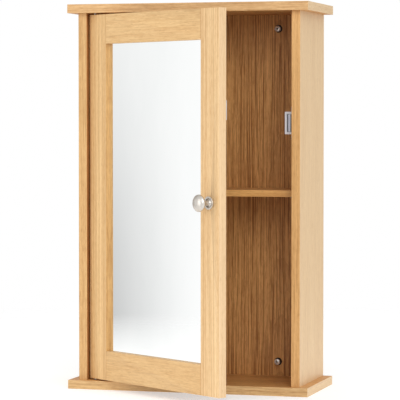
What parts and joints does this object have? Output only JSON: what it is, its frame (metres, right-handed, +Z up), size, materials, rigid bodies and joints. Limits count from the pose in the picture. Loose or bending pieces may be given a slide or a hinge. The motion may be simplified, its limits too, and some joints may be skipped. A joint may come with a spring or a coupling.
{
  "type": "mirrored wall cabinet",
  "caption": "Shallow oak-effect wall cabinet with an adjustable shelf and a left-hung mirrored frame door on pivot pins, held by a magnetic catch.",
  "frame": {"origin": "centre of the bottom panel's underside", "axes": "+X to the right seen from the front, +Y towards the wall, +Z up; the door is stored part open"},
  "size_m": [0.34, 0.3342, 0.53],
  "materials": {
    "oak_board": "oak-effect foil on fibreboard, satin",
    "oak_back": "oak-effect foil, satin",
    "beech": "bare wood",
    "hardboard": "smooth hardboard",
    "mirror": "silvered glass",
    "satin_nickel": "satin nickel plate",
    "zinc_plate": "bright zinc plate",
    "steel": "plain steel",
    "white_plastic": "moulded, semi-gloss",
    "nylon": "moulded nylon",
    "ferrite": "sintered, dull"
  },
  "bodies": {
    "cabinet": {"top_panel": "oak_board", "bottom_panel": "oak_board", "left_side_panel": "oak_board", "right_side_panel": "oak_board", "back_panel": "oak_back", "upper_hanging_rail": "beech", "lower_hanging_rail": "beech", "back_panel_screws": "zinc_plate", "wall_screws": "zinc_plate", "shelf": "oak_board", "shelf_pins": "zinc_plate", "carcass_dowels": "beech", "cam_bolts": "zinc_plate", "cam_locks": "zinc_plate", "catch_housing": "white_plastic", "catch_magnet": "ferrite", "catch_pole_plates": "steel", "catch_screws": "zinc_plate", "upper_bush": "nylon", "lower_bush": "nylon"},
    "door": {"door_left_stile": "oak_board", "door_right_stile": "oak_board", "door_top_rail": "oak_board", "door_bottom_rail": "oak_board", "door_dowels": "beech", "mirror_glass": "mirror", "mirror_backing": "hardboard", "backing_clips": "zinc_plate", "clip_screws": "zinc_plate", "upper_pivot_pin": "steel", "lower_pivot_pin": "steel", "strike_plate": "zinc_plate", "strike_screws": "zinc_plate", "knob": "satin_nickel", "knob_rosette": "satin_nickel", "knob_screw": "zinc_plate"}
  },
  "joints": [
    {"name": "door_hinge", "type": "hinge", "parent": "cabinet", "child": "door", "pos_m": [-0.136, -0.056, 0.26475], "axis": [0, 0, 1], "range_deg": [-64.8, 35.2]}
  ]
}
